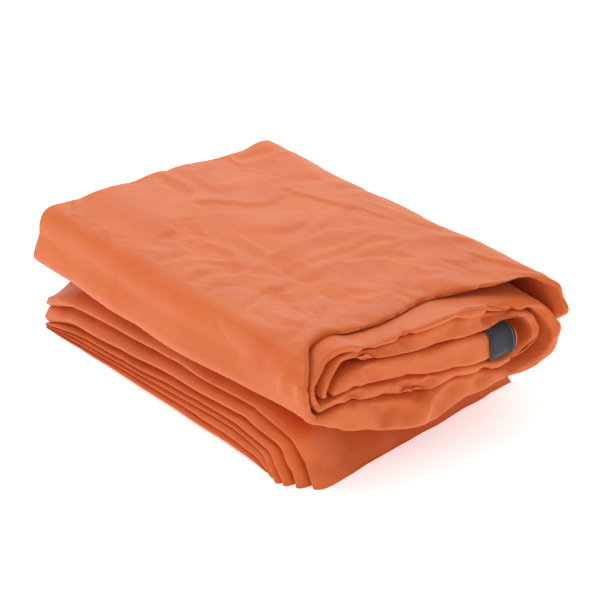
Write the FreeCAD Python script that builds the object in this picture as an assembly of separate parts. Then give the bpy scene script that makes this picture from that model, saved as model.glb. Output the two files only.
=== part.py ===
"""Folded bivy sack: a flattened fabric roll hinged on an accordion-folded stack.

The sack is folded in three lengthwise into a strip. The strip is rolled flat from its
mouth, and the rest of it is pleated under the roll. +X runs along the folds towards the
loose end, -Y is the face with the closed folds, +Z is up, and the origin is at the
centre of the bundle's footprint on the table.
"""
import FreeCAD
import Part
import math
import os

V = FreeCAD.Vector

# ---- driving dimensions, mm ------------------------------------------------------
STRIP_WIDTH = 300.0       # width of the folded strip, along X
BUNDLE_DEPTH = 204.0      # over the outermost bends, along Y
ROLL_HEIGHT = 46.0        # the roll's thickness away from its loose end
LEAF_HEIGHTS = [5.0, 5.0, 5.0, 6.0, 12.0, 13.0]    # each pleat under the roll, upwards
NOSE_HEIGHTS = [14.0, 10.0, 18.0, 10.0, 9.0, 7.0]  # each pass at the loose end, upwards

PASS_CLEAR = 0.36         # air between two passes of the roll
LEAF_CLEAR = 0.30         # air between two pleats, and between pleats and roll
FOLD_CLEAR = 0.80         # air between a pleat's back edge and its fold bead
BEAD_DEPTH = 3.0          # fold beads stand this far behind the pleats' back edges
BEAD_ROUND = 0.4          # a bead's radius as a share of the thinner pleat beside it
BEAD_INSET = 6.0          # a bead stops this far inside its pleat's ends

STACK_INSET_FRONT = 4.0   # the pleats' closed folds sit behind the roll's bulge
STACK_INSET_LEFT = 6.0    # the pleats start inside the roll's left end
TIP_INSET = 2.0           # the pleats' front tip to the strip's loose end
END_SKEW = 34.0           # how far the pleats' loose end slants back towards +Y
RAMP_BACKSET = 3.0        # the pleats start to slope down this far before the passes do
LEAF_ROUND = 0.4          # a pleat's edge radius as a share of its thickness
DROOP_CLEAR = 1.0         # extra air between the drooping ends, which slide as pleats lift
HEM_LIFT = 0.6            # the drooping ends of the upper pleats hang this far off the table

FLARE_LENGTH = 44.0       # the passes spread apart over this length at the loose end
NOSE_LENGTH = 8.0         # length over which a pass closes to its folded nose
NOSE_ROUND = 2.2          # edge radius at the ends of a pass or bend
LIP_INSET = 24.0          # the top pass ends this far inside the loose end
SKIN_INSET = 10.0         # the outer bends end this far inside the loose end
BEND_STEP = 3.0           # each inner bend ends this much further inside

TAPE_WIDTH = 20.0         # closure tape, along Y
TAPE_THICK = 1.0
TAPE_SEAT = 0.2           # air between the tape and the fold that it goes round
TAPE_LEG = 30.0           # each leg of the tape runs this far back over the fold
TAPE_EDGE_GAP = 15.0      # tape's far edge to the core's free edge
BINDING_WIDTH = 2.4       # bound edge along the tape
BINDING_CLEAR = 0.2

# ---- derived places --------------------------------------------------------------
END_X = STRIP_WIDTH / 2.0
EDGE_Y = BUNDLE_DEPTH / 2.0
PASSES = len(NOSE_HEIGHTS)
PASS_PITCH = ROLL_HEIGHT / PASSES
STACK_LEAVES = len(LEAF_HEIGHTS)
STACK_HEIGHT = sum(LEAF_HEIGHTS)
ROLL_TOP = STACK_HEIGHT + ROLL_HEIGHT
SAG = sum(NOSE_HEIGHTS) - ROLL_HEIGHT
FLARE_X = END_X - FLARE_LENGTH
LEAF_FRONT_Y = -EDGE_Y + STACK_INSET_FRONT
LEAF_BACK_Y = EDGE_Y - BEAD_DEPTH - FOLD_CLEAR
LEAF_LEFT_X = -END_X + STACK_INSET_LEFT
TIP_X = END_X - TIP_INSET
RAMP_ANGLE = math.atan2(SAG, FLARE_LENGTH - NOSE_LENGTH)
FRONT_BEND_Y = -EDGE_Y + (PASS_PITCH * PASSES - PASS_CLEAR) / 2.0
BACK_BEND_Y = EDGE_Y - (PASS_PITCH * (PASSES + 1) - PASS_CLEAR) / 2.0
CORE = 2                  # the pass that holds the mouth and its tape, counted upwards
TAPE_RELIEF = TAPE_THICK + TAPE_SEAT
TAPE_Y = BACK_BEND_Y - TAPE_EDGE_GAP - TAPE_WIDTH


def level(step):
    """Height of the boundary below a pass, away from the loose end."""
    return STACK_HEIGHT + step * PASS_PITCH


def nose_level(step):
    """Height of the same boundary at the loose end, where the passes have spread."""
    return ROLL_TOP - sum(NOSE_HEIGHTS[step:])


def prism(corners, sweep):
    """Solid with a closed outline of corners, swept along a vector."""
    face = Part.Face(Part.makePolygon(corners + corners[:1]))
    return face.extrude(sweep)


def round_edges(shape, radius, wanted):
    """Round the edges of a shape that pass a test."""
    return shape.makeFillet(radius, [edge for edge in shape.Edges if wanted(edge)])


def leaf_outline(depth, foot, tip_shift=0.0):
    """X-Z corners of the stack's outer shape at its loose end, moved in by a depth.

    The top is flat, slopes down under the sagging roll and drops to the table.
    """
    ramp_x = FLARE_X - RAMP_BACKSET - depth * math.tan(RAMP_ANGLE / 2)
    tip_x = TIP_X - depth + tip_shift
    top = STACK_HEIGHT - LEAF_CLEAR - depth
    knee = top - (tip_x - ramp_x) * math.tan(RAMP_ANGLE)
    if knee > foot:
        return [(ramp_x, top), (tip_x, knee), (tip_x, foot)]
    return [(ramp_x, top), (ramp_x + (top - foot) / math.tan(RAMP_ANGLE), foot)]


def leaf_low(index):
    """Height of the plane under a pleat."""
    return sum(LEAF_HEIGHTS[:index])


def pleat(index):
    """One folded leaf of the stack, whose loose end droops over the leaves below it."""
    low = leaf_low(index)
    thick = LEAF_HEIGHTS[index] - LEAF_CLEAR
    depth = STACK_HEIGHT - leaf_low(index + 1)
    left = LEAF_LEFT_X - 2 * END_SKEW
    foot = HEM_LIFT if index else 0.0
    outline = [(left, low + thick)] + leaf_outline(depth, foot)
    if index:
        outline += leaf_outline(depth + thick, foot, DROOP_CLEAR)[::-1]
    outline += [(left, low)]
    slant = V(-END_SKEW, LEAF_BACK_Y - LEAF_FRONT_Y, 0)
    pad = prism([V(x, LEAF_FRONT_Y, z) for x, z in outline], slant)
    corner = V(LEAF_LEFT_X, -EDGE_Y, 0)
    pad = pad.common(Part.makeBox(STRIP_WIDTH, BUNDLE_DEPTH, ROLL_TOP, corner))
    return round_edges(
        pad,
        thick * LEAF_ROUND,
        lambda e: e.BoundBox.YMax < LEAF_FRONT_Y + 0.1 and e.BoundBox.XLength > STRIP_WIDTH / 2,
    )


def fold_bead(index):
    """Fabric that turns from one pleat into the next at the back, as a half-round bead."""
    radius = min(BEAD_DEPTH, BEAD_ROUND * min(LEAF_HEIGHTS[index:index + 2]))
    middle = leaf_low(index + 1)
    if index == STACK_LEAVES - 1:
        middle -= LEAF_CLEAR + radius
    start = V(LEAF_LEFT_X + BEAD_INSET, EDGE_Y - BEAD_DEPTH, middle)
    ramp_x = leaf_outline(STACK_HEIGHT - leaf_low(index), 0.0)[0][0]
    length = ramp_x - END_SKEW - BEAD_INSET - start.x
    rod = Part.makeCylinder(radius, length, start, V(1, 0, 0))
    back = Part.makeBox(length, radius, 2 * radius, start - V(0, 0, radius))
    return rod.common(back)


def roll_pass(step):
    """One flat pass of the roll, which spreads and sags at the loose end."""
    relief = TAPE_RELIEF if step == CORE else 0.0
    low = level(step) + PASS_CLEAR + relief
    high = level(step + 1) - relief
    nose_low = nose_level(step) + PASS_CLEAR + relief
    nose_high = nose_level(step + 1) - relief
    nose_start = END_X - NOSE_LENGTH - (LIP_INSET if step == PASSES - 1 else 0.0)
    nose_x = nose_start + NOSE_LENGTH - relief
    shrink = (nose_high - nose_low) / 4.0
    outline = [
        (-END_X, low),
        (FLARE_X, low),
        (nose_start, nose_low),
        (nose_x, nose_low + shrink),
        (nose_x, nose_high - shrink),
        (nose_start, nose_high),
        (FLARE_X, high),
        (-END_X, high),
    ]
    corners = [V(x, FRONT_BEND_Y, z) for x, z in outline]
    if nose_high == high:
        corners.pop(6)
    pad = prism(corners, V(0, BACK_BEND_Y - FRONT_BEND_Y, 0))
    return round_edges(
        pad,
        NOSE_ROUND,
        lambda e: e.BoundBox.YLength > BUNDLE_DEPTH / 3 and abs(e.BoundBox.XMin + END_X) < 1e-6,
    )


def bend(lowest, steps, side, inset):
    """Half-round shell that turns the fabric from the pass above a level into another."""
    outer = (steps * PASS_PITCH - PASS_CLEAR) / 2.0
    inner = outer - (PASS_PITCH - PASS_CLEAR)
    length = STRIP_WIDTH - inset
    centre_y = BACK_BEND_Y if side > 0 else FRONT_BEND_Y
    start = V(-END_X, centre_y, level(lowest) + PASS_CLEAR + outer)
    shell = Part.makeCylinder(outer, length, start, V(1, 0, 0))
    if steps > 2:
        shell = shell.cut(Part.makeCylinder(inner, length, start, V(1, 0, 0)))
    corner = start - V(0, 0 if side > 0 else outer, outer)
    half = shell.common(Part.makeBox(length, outer, 2 * outer, corner))
    if lowest < 0:
        below = V(-END_X, centre_y, level(lowest))
        half = half.cut(Part.makeBox(length, outer, PASS_PITCH + PASS_CLEAR, below))
    return round_edges(
        half,
        NOSE_ROUND,
        lambda e: isinstance(e.Curve, Part.Circle) and abs(e.Curve.Radius - outer) < 1e-6,
    )


def core_band(y_low, width, inside, outside):
    """U-shaped band of fabric round the core's folded nose, between two offsets from it."""
    flat_low = level(CORE) + PASS_CLEAR + TAPE_RELIEF
    flat_high = level(CORE + 1) - TAPE_RELIEF
    nose_low = nose_level(CORE) + PASS_CLEAR + TAPE_RELIEF
    nose_high = nose_level(CORE + 1) - TAPE_RELIEF
    nose_start = END_X - NOSE_LENGTH
    nose_x = END_X - TAPE_RELIEF
    shrink = (nose_high - nose_low) / 4.0
    share = TAPE_LEG / (nose_start - FLARE_X)
    back_low = nose_low + share * (flat_low - nose_low)
    back_high = nose_high + share * (flat_high - nose_high)

    def outline(offset):
        """Corners of the core's nose, moved out by an offset."""
        return [
            V(nose_start - TAPE_LEG, y_low, back_low - offset),
            V(nose_start, y_low, nose_low - offset),
            V(nose_x + offset, y_low, nose_low + shrink - offset / 2),
            V(nose_x + offset, y_low, nose_high - shrink + offset / 2),
            V(nose_start, y_low, nose_high + offset),
            V(nose_start - TAPE_LEG, y_low, back_high + offset),
        ]

    solid = prism(outline(outside), V(0, width, 0))
    return solid.cut(prism(outline(inside), V(0, width, 0)))


def build():
    """All nodes of the folded sack by name."""
    nodes = {}
    for index in range(STACK_LEAVES):
        name = "stack_cover_leaf" if index == STACK_LEAVES - 1 else "stack_pleat_%d" % (index + 1)
        nodes[name] = pleat(index)
        bead_name = "roll_hinge_fold" if index == STACK_LEAVES - 1 else "back_fold_%d" % (index + 1)
        nodes[bead_name] = fold_bead(index)

    pass_names = [
        "underside_pass",
        "lower_pass",
        "mouth_core",
        "third_pass",
        "second_pass",
        "top_pass",
    ]
    for step, name in enumerate(pass_names):
        nodes[name] = roll_pass(step)

    front_names = ["front_bend_outer", "front_bend_middle", "front_bend_inner"]
    for rank, name in enumerate(front_names):
        nodes[name] = bend(rank, PASSES - 2 * rank, -1, SKIN_INSET + BEND_STEP * rank)
    back_names = ["back_bend_outer", "back_bend_middle", "back_bend_inner"]
    for rank, name in enumerate(back_names):
        nodes[name] = bend(rank - 1, PASSES + 1 - 2 * rank, 1, BEND_STEP * rank)

    nodes["closure_tape"] = core_band(TAPE_Y, TAPE_WIDTH, TAPE_SEAT, TAPE_RELIEF)
    binding_y = TAPE_Y + TAPE_WIDTH + BINDING_CLEAR
    nodes["tape_binding"] = core_band(binding_y, BINDING_WIDTH, TAPE_SEAT, TAPE_RELIEF)
    return nodes


def main():
    """Write one STEP file for each node."""
    os.makedirs("parts", exist_ok=True)
    for name, shape in build().items():
        shape.exportStep("parts/%s.step" % name)
        box = shape.BoundBox
        print("%-20s valid %s solids %d volume %.0f  x %.1f..%.1f  y %.1f..%.1f  z %.1f..%.1f" % (
            name, shape.isValid(), len(shape.Solids), shape.Volume,
            box.XMin, box.XMax, box.YMin, box.YMax, box.ZMin, box.ZMax))


main()
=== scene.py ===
"""Folded bivy sack: a flat roll with its mouth tape showing, lying on accordion pleats.

Lengths in this file are millimetres in the CAD frame (X along the strip, loose end
at +X; Y from the front to the fold hinge; Z up). They turn to metres when a mesh is
made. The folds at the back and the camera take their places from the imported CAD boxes.
The roll and the stack have theirs typed in, in the same frame as those boxes.
"""
import logging
import math
from dataclasses import dataclass
from enum import Enum

import bpy
import numpy as np
from mathutils import Matrix, Vector, noise


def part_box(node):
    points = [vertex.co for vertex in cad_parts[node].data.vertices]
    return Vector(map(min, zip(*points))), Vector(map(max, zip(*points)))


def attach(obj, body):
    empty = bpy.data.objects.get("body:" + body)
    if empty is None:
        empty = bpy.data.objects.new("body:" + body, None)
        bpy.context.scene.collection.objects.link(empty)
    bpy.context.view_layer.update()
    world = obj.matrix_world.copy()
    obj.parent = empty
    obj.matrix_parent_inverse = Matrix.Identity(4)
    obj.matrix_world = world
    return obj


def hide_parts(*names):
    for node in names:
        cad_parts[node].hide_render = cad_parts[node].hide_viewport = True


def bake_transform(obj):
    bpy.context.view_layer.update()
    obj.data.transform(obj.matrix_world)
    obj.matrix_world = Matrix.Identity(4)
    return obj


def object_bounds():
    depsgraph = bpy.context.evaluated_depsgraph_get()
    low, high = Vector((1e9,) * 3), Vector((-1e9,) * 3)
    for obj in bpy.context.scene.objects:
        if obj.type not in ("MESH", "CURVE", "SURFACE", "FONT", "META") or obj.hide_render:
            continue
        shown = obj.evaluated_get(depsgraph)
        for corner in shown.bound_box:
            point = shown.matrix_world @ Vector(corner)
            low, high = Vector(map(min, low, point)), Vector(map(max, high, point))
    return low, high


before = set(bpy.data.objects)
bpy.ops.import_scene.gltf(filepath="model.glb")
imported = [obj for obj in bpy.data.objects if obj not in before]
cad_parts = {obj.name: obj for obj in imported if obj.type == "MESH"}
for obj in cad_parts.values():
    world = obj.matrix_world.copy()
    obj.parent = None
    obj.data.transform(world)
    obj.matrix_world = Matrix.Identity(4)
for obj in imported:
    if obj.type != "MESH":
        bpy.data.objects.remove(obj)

CAD_BOX = [[float(c) for c in corner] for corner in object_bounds()]
MM = 0.001
LOG = logging.getLogger("bivy_sack")

Array = np.ndarray
Piece = bpy.types.Object
Material = bpy.types.Material
Tree = bpy.types.NodeTree
Node = bpy.types.Node
Place = tuple[float, float, float]


class Body(Enum):
    """CAD bodies that the cloth pieces ride on."""

    BASE = "base_pleat"
    PLEAT_2 = "pleat_2"
    PLEAT_3 = "pleat_3"
    PLEAT_4 = "pleat_4"
    PLEAT_5 = "pleat_5"
    COVER = "cover"
    ROLL = "roll"


class Slot(Enum):
    """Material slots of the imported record."""

    SHELL = "shell_fabric"
    FOLD = "fold_fabric"
    TAPE = "tape"
    BINDING = "binding"


# ---- helpers


def linear(code: str) -> tuple[float, float, float, float]:
    """Turn an sRGB hex colour into linear RGBA.

    Args:
        code: Colour such as "#E68E64".

    Returns:
        Linear red, green, blue and an alpha of 1.
    """
    channels = [int(code[i:i + 2], 16) / 255 for i in (1, 3, 5)]
    bent = [c / 12.92 if c <= 0.04045 else ((c + 0.055) / 1.055) ** 2.4 for c in channels]
    return (*bent, 1.0)


def smooth(t: Array) -> Array:
    """Ease a share from 0 to 1, flat at both ends.

    Args:
        t: Shares, cut to 0..1 here.

    Returns:
        Eased shares.
    """
    t = np.clip(t, 0.0, 1.0)
    return t * t * (3 - 2 * t)


def spline(points: Array, per_span: int) -> Array:
    """Pass a Catmull-Rom curve through rows of numbers.

    Args:
        points: One row per station, any number of columns.
        per_span: Samples on each span between two stations.

    Returns:
        The sampled rows, ends included.
    """
    padded = np.vstack([2 * points[0] - points[1], points, 2 * points[-1] - points[-2]])
    t = (np.arange(per_span) / per_span)[:, None]
    rows = []
    for a, b, c, d in zip(padded, padded[1:], padded[2:], padded[3:]):
        rows.append(0.5 * (2 * b + (c - a) * t + (2 * a - 5 * b + 4 * c - d) * t ** 2
                           + (3 * b - a - 3 * c + d) * t ** 3))
    return np.vstack(rows + [points[-1:]])


def add_object(name: str, data: bpy.types.ID) -> Piece:
    """Put an object into the scene.

    Args:
        name: Object name.
        data: Its mesh, camera or light.

    Returns:
        The linked object.
    """
    made = bpy.data.objects.new(name, data)
    bpy.context.scene.collection.objects.link(made)
    return made


@dataclass(frozen=True)
class Ramp:
    """A soft step from 0 to 1 along one axis.

    Attributes:
        axis: 0 for X, 1 for Y, 2 for Z.
        start: Where it is still 0, in mm.
        length: Length of the step in mm; below 0 it rises the other way.
    """

    axis: int
    start: float
    length: float

    def at(self, points: Array) -> Array:
        """Height of the step at each point.

        Args:
            points: Points in mm, last axis of 3.

        Returns:
            Shares from 0 to 1.
        """
        return smooth((points[..., self.axis] - self.start) / self.length)


class Pattern(Enum):
    """Kinds of relief in cloth."""

    SWELL = "soft bumps"
    RIDGE = "folds that meet in sharp lines"
    FACET = "crumpled facets with creases between them"


@dataclass(frozen=True)
class Layer:
    """One layer of relief.

    Attributes:
        pattern: Kind of relief.
        scale: Size of one bump along X, Y and Z in mm.
        seed: Offset that picks another pattern.
        height: Height in mm.
    """

    pattern: Pattern
    scale: Place
    seed: float
    height: float

    def at(self, points: Array, shift: float) -> Array:
        """Height of the layer at each point.

        Args:
            points: Points in mm, last axis of 3.
            shift: Added to the seed.

        Returns:
            Heights in mm.
        """
        places = (points.reshape(-1, 3) / np.array(self.scale) + (self.seed + shift)).tolist()
        if self.pattern is Pattern.FACET:
            values = [near[1] - near[0] for near in (noise.voronoi(p)[0] for p in places)]
        else:
            values = [noise.noise(p) for p in places]
        if self.pattern is Pattern.RIDGE:
            values = np.abs(values)
        return np.array(values).reshape(points.shape[:-1]) * self.height


def relief(points: Array, layers: tuple[Layer, ...], base: float, shift: float = 0.0) -> Array:
    """Add up layers of relief.

    Args:
        points: Points in mm, last axis of 3.
        layers: The layers.
        base: Height that is taken off the sum, in mm.
        shift: Added to every seed, so that like pieces differ.

    Returns:
        Heights in mm.
    """
    return sum(layer.at(points, shift) for layer in layers) - base


def pad_outline(across: Array, count: int, boxy: float = 1.0) -> Array:
    """Lay out one ring of a pad from half-way down its near lip, so point i faces -1 - i.

    Args:
        across: Shares from the near lip to the far one, 0 to 1.
        count: Angles round a lip, its two faces included.
        boxy: Below 1 where the far lip is squarer than a round fold.

    Returns:
        Four rows: share, side (1 to -1), and how far out on the far and on the near lip.
    """
    angles = np.radians(np.linspace(90, -90, count))[1:-1]
    marks = [(t, 1.0, 0.0, 0.0) for t in across]
    marks += [(1.0, math.copysign(abs(math.sin(a)) ** boxy, a), math.cos(a), 0.0) for a in angles]
    marks += [(t, -1.0, 0.0, 0.0) for t in across[::-1]]
    marks += [(0.0, math.sin(a), 0.0, math.cos(a)) for a in angles[::-1]]
    turn = len(angles) // 2
    return np.array(marks[-turn:] + marks[:-turn]).T


def grid_normals(grid: Array) -> Array:
    """Unit normals of a grid of points whose second axis closes on itself.

    Args:
        grid: Points, shape (rings, points, 3).

    Returns:
        Unit normals of the same shape.
    """
    along = np.gradient(grid, axis=0)
    around = np.roll(grid, -1, axis=1) - np.roll(grid, 1, axis=1)
    normals = np.cross(around, along)
    length = np.linalg.norm(normals, axis=2, keepdims=True)
    normals = normals / np.maximum(length, 1e-9)
    outward = ((grid - grid.mean(axis=1, keepdims=True)) * normals).sum()
    return normals if outward > 0 else -normals


def loft(name: str, rings: Array, uv: Array) -> Piece:
    """Make a closed pad from rings whose second half mirrors the first.

    Args:
        name: Piece name.
        rings: Points in mm, shape (rings, 2 * half, 3). Point i faces point -1 - i.
        uv: Cloth coordinates in metres for each ring point, shape (rings, 2 * half, 2).

    Returns:
        The linked object, its place in its mesh, faces outwards.
    """
    count, around, _ = rings.shape
    half = around // 2
    index = np.arange(count * around).reshape(count, around)
    nxt = np.roll(index, -1, axis=1)
    sides = np.stack([index[:-1], index[1:], nxt[1:], nxt[:-1]], axis=-1).reshape(-1, 4)
    caps = []
    for row, flip in ((index[0], False), (index[-1], True)):
        a, b = row[:half - 1], row[1:half]
        c, d = row[::-1][1:half], row[::-1][:half - 1]
        cap = np.stack([a, b, c, d], axis=-1)
        caps.append(cap[:, ::-1] if flip else cap)
    faces = np.vstack([sides] + caps)
    points = rings.reshape(-1, 3) * MM
    first, *others = np.moveaxis(points[faces], 1, 0)
    if sum((first * np.cross(a, b)).sum() for a, b in zip(others, others[1:])) < 0:
        faces = faces[:, ::-1]
    mesh = bpy.data.meshes.new(name)
    mesh.from_pydata(points.tolist(), [], faces.tolist())
    layer = mesh.uv_layers.new(name="cloth")
    loops = np.empty(len(mesh.loops), np.int64)
    mesh.loops.foreach_get("vertex_index", loops)
    layer.data.foreach_set("uv", uv.reshape(-1, 2)[loops].astype(np.float32).ravel())
    mesh.polygons.foreach_set("use_smooth", np.ones(len(faces), bool))
    mesh.update()
    ends = np.empty(len(mesh.edges) * 2, np.int64)
    mesh.edges.foreach_get("vertices", ends)
    ends = ends.reshape(-1, 2)
    rim = ((ends < around).all(axis=1) | (ends >= (count - 1) * around).all(axis=1))
    mesh.attributes.new("sharp_edge", "BOOLEAN", "EDGE").data.foreach_set("value", rim)
    return add_object(name, mesh)


def finish_piece(piece: Piece, material: Material, body: Body,
                 nodes: tuple[str, ...] = ()) -> None:
    """Dress a piece and tie it to the frame.

    Args:
        piece: The finished object.
        material: Its material.
        body: CAD body that it rides on.
        nodes: CAD nodes that it stands for.
    """
    piece.data.materials.clear()
    piece.data.materials.append(material)
    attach(piece, body.value)
    if nodes:
        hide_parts(*nodes)
    LOG.info("%s: %d faces on %s", piece.name, len(piece.data.polygons), body.value)


# Light taffeta, a little larger than its shape, with some air behind it.
CLOTH = {
    "quality": 6, "mass": 0.15, "tension_stiffness": 25, "compression_stiffness": 25,
    "shear_stiffness": 8, "bending_stiffness": 0.4, "tension_damping": 10,
    "compression_damping": 10, "vertex_group_mass": "held", "pin_stiffness": 1.0,
    "shrink_min": -0.012, "use_pressure": True, "uniform_pressure_force": 1.6,
}


def relax_cloth(piece: Piece, free: Array, frames: int = 12, cap: float = 0.9,
                levels: int = 10) -> None:
    """Let cloth buckle in a short simulation, and keep the result as plain mesh.

    Args:
        piece: Pad whose outer cloth is loose.
        free: How far each vertex may follow the simulation, 0 to 1.
        frames: Simulation steps.
        cap: Most that a point may move in mm.
        levels: Steps from free to held.
    """
    mesh = piece.data
    rest = np.empty(len(mesh.vertices) * 3)
    mesh.vertices.foreach_get("co", rest)
    group = piece.vertex_groups.new(name=CLOTH["vertex_group_mass"])
    hold = np.round((1 - free) * levels).astype(int)
    for level in range(1, levels + 1):
        picked = np.flatnonzero(hold == level)
        if len(picked):
            group.add(picked.tolist(), level / levels, "REPLACE")
    cloth = piece.modifiers.new("cloth", "CLOTH")
    for name, value in CLOTH.items():
        setattr(cloth.settings, name, value)
    cloth.settings.effector_weights.gravity = 0
    cloth.collision_settings.use_collision = False
    cloth.point_cache.frame_start, cloth.point_cache.frame_end = 1, frames
    scene = bpy.context.scene
    for number in range(1, frames + 1):
        scene.frame_set(number)
    moved = np.empty_like(rest)
    result = piece.evaluated_get(bpy.context.evaluated_depsgraph_get())
    result.data.vertices.foreach_get("co", moved)
    piece.modifiers.remove(cloth)
    piece.vertex_groups.remove(group)
    scene.frame_set(1)
    shift = (moved - rest).reshape(-1, 3)
    size = np.linalg.norm(shift, axis=1, keepdims=True)
    shift *= np.minimum(1, cap * MM / np.maximum(size, 1e-9)) * free[:, None]
    mesh.vertices.foreach_set("co", (rest + shift.ravel()).astype(np.float32))
    mesh.update()
    LOG.info("%s: cloth moved up to %.2f mm, mean %.2f mm", piece.name,
             size.max() / MM, size.mean() / MM)


# ---- materials


def add_node(tree: Tree, kind: str, links: dict | None = None, **settings: object) -> Node:
    """Add one node with its settings and links.

    Args:
        tree: Node tree.
        kind: Node type.
        links: Input name or number to the socket, or the node whose first socket, feeds it.
        **settings: Node properties; a name in "in_NAME" form sets that input's value.

    Returns:
        The new node.
    """
    node = tree.nodes.new(kind)
    for key, value in settings.items():
        if key.startswith("in_"):
            node.inputs[key[3:].replace("_", " ")].default_value = value
        else:
            setattr(node, key, value)
    for key, source in (links or {}).items():
        feed = source.outputs[0] if isinstance(source, Node) else source
        tree.links.new(feed, node.inputs[key])
    return node


def start_material(name: str) -> tuple[Material, Tree, Node]:
    """Make a material that has only its cloth coordinates.

    Args:
        name: Material name.

    Returns:
        The material, its node tree and the node with the cloth coordinates.
    """
    material = bpy.data.materials.new(name)
    material.use_nodes = True
    tree = material.node_tree
    tree.nodes.clear()
    return material, tree, add_node(tree, "ShaderNodeUVMap", uv_map="cloth")


def bands(tree: Tree, cloth: Node, direction: str, size: float,
          distortion: float) -> bpy.types.NodeSocket:
    """Add evenly spaced waves across cloth.

    Args:
        tree: Node tree.
        cloth: Node with the cloth coordinates.
        direction: "X" or "Y".
        size: Distance between two waves in mm.
        distortion: How uneven they are.

    Returns:
        The socket with their height.
    """
    # A wave texture repeats once in tau / 20 at a scale of 1.
    return add_node(tree, "ShaderNodeTexWave", {"Vector": cloth}, wave_type="BANDS",
                    bands_direction=direction, in_Scale=math.tau / 20 / (size * MM),
                    in_Distortion=distortion, in_Detail=1.0).outputs["Fac"]


@dataclass(frozen=True)
class Taffeta:
    """Coated polyester taffeta: a tight plain weave with a soft, slightly waxy sheen.

    The thread count is too fine to show, so the weave is drawn at a coarse 1.1 mm. Sizes are
    in mm: of the colour patches, the threads and the crinkles, and the heights of the bumps.
    """

    name: str
    light: str
    dark: str
    mix: tuple[float, float] = (0.32, 0.68)
    patch: float = 45.0
    roughness: float = 0.50
    sheen: float = 0.40
    sheen_tint: str = "#FFC9A0"
    thread: float = 1.1
    uneven: float = 0.6
    crinkle: float = 9.0
    weave_bump: float = 0.30
    weave_height: float = 0.12
    crinkle_bump: float = 0.30
    crinkle_height: float = 1.2

    def build(self) -> Material:
        """Build the material.

        Returns:
            A node material with colour variation, weave and crinkle.
        """
        material, tree, cloth = start_material(self.name)
        place = add_node(tree, "ShaderNodeTexCoord").outputs["Object"]
        patch = add_node(tree, "ShaderNodeTexNoise", {"Vector": place},
                         in_Scale=1 / (self.patch * MM), in_Detail=5.0, in_Roughness=0.6)
        colour = add_node(tree, "ShaderNodeValToRGB", {"Fac": patch.outputs["Fac"]})
        stops = zip(colour.color_ramp.elements, self.mix, (self.dark, self.light))
        for stop, position, code in stops:
            stop.position, stop.color = position, linear(code)
        waves = [bands(tree, cloth, way, self.thread, self.uneven) for way in ("X", "Y")]
        weave = add_node(tree, "ShaderNodeMath", {0: waves[0], 1: waves[1]}, operation="ADD")
        folds = add_node(tree, "ShaderNodeTexNoise", {"Vector": place},
                         in_Scale=1 / (self.crinkle * MM), in_Detail=6.0, in_Roughness=0.55,
                         in_Distortion=0.4)
        bump = add_node(tree, "ShaderNodeBump", {"Height": folds.outputs["Fac"]},
                        in_Strength=self.crinkle_bump, in_Distance=self.crinkle_height * MM)
        bump = add_node(tree, "ShaderNodeBump", {"Height": weave, "Normal": bump},
                        in_Strength=self.weave_bump, in_Distance=self.weave_height * MM)
        shader = add_node(tree, "ShaderNodeBsdfPrincipled", {"Base Color": colour, "Normal": bump},
                          in_Roughness=self.roughness, in_Sheen_Weight=self.sheen,
                          in_Sheen_Roughness=0.45, in_IOR=1.5, in_Specular_IOR_Level=0.35,
                          in_Sheen_Tint=linear(self.sheen_tint))
        add_node(tree, "ShaderNodeOutputMaterial", {"Surface": shader})
        return material


@dataclass(frozen=True)
class RibbedTape:
    """Woven polyester binding tape: matt navy with fine ribs across its width.

    The ribs' spacing and height are in mm.
    """

    name: str
    light: str
    dark: str
    rib: float = 1.2
    rib_height: float = 0.3
    uneven: float = 0.4

    def build(self) -> Material:
        """Build the material.

        Returns:
            A node material with ribs and a dry, matt face.
        """
        material, tree, cloth = start_material(self.name)
        ribs = bands(tree, cloth, "X", self.rib, self.uneven)
        colour = add_node(tree, "ShaderNodeValToRGB", {"Fac": ribs})
        for stop, code in zip(colour.color_ramp.elements, (self.dark, self.light)):
            stop.color = linear(code)
        bump = add_node(tree, "ShaderNodeBump", {"Height": ribs}, in_Strength=0.6,
                        in_Distance=self.rib_height * MM)
        shader = add_node(tree, "ShaderNodeBsdfPrincipled", {"Base Color": colour, "Normal": bump},
                          in_Roughness=0.8, in_Sheen_Weight=0.3, in_IOR=1.5)
        add_node(tree, "ShaderNodeOutputMaterial", {"Surface": shader})
        return material


SHELL = Taffeta("coated_taffeta_orange", "#E26F31", "#D96328")
# A darker, more saturated copy of the shell cloth, used on the folds between the pleats at the
# back: painted shade on the same fabric.
FOLD = Taffeta("coated_taffeta_fold_painted_shade", "#DE6426", "#D3581D", crinkle=7.0)
NAVY = RibbedTape("woven_tape_navy", "#2E3043", "#191B28")
BINDING = RibbedTape("woven_binding_navy", "#31384A", "#1A1F2E", rib=0.8)


# ---- roll

# One row of a path at the loose end: y, z, thickness and how far along X its lip stands.
Row = tuple[float, float, float, float]


@dataclass
class Stretch:
    """One pass or bend of the strip as it winds up.

    Attributes:
        loose: Rows at the loose end.
        snug: (y, z, thickness) of the same rows where the roll is wound evenly.
        skew: How far the lip sits off the middle, -1 inside to 1 outside.
        slant: How much further the outer edge of the lip stands than the inner one.
        round: Shape of the lip, 1 for a round fold, less for a flat one.
        nose: Length of the part that narrows to the lip.
    """

    loose: list[Row]
    snug: list[Place]
    skew: float = 0.0
    slant: float = 0.0
    round: float = 0.42
    nose: float = 0.0


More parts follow.
